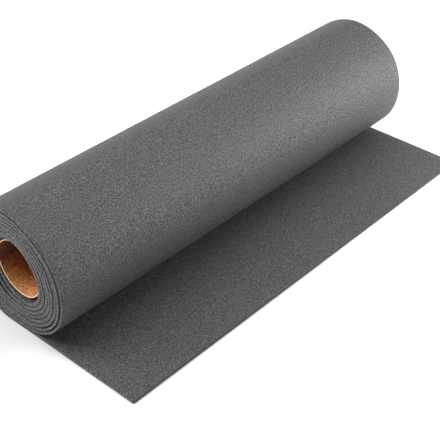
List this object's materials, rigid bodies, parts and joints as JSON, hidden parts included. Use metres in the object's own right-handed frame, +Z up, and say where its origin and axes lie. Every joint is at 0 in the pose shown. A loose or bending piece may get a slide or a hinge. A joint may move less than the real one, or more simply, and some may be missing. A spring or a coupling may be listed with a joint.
{
  "type": "roll of felt on a core tube",
  "caption": "Roll of plain grey needle felt wound on an open cardboard core tube, lying on its side with its loose end flat on the surface.",
  "frame": {"origin": "on the surface it rests on, under the middle of the whole piece", "axes": "+Z up, +Y along the roll's axis from the near end face to the far one, +X towards the cut edge of the loose end"},
  "size_m": [0.1932, 0.45, 0.1179],
  "materials": {
    "felt": "matt grey needle felt with a fine matted fibre surface",
    "cardboard": "matt brown spiral-wound cardboard"
  },
  "bodies": {
    "root": {"felt": "felt", "core_tube": "cardboard"}
  },
  "joints": []
}
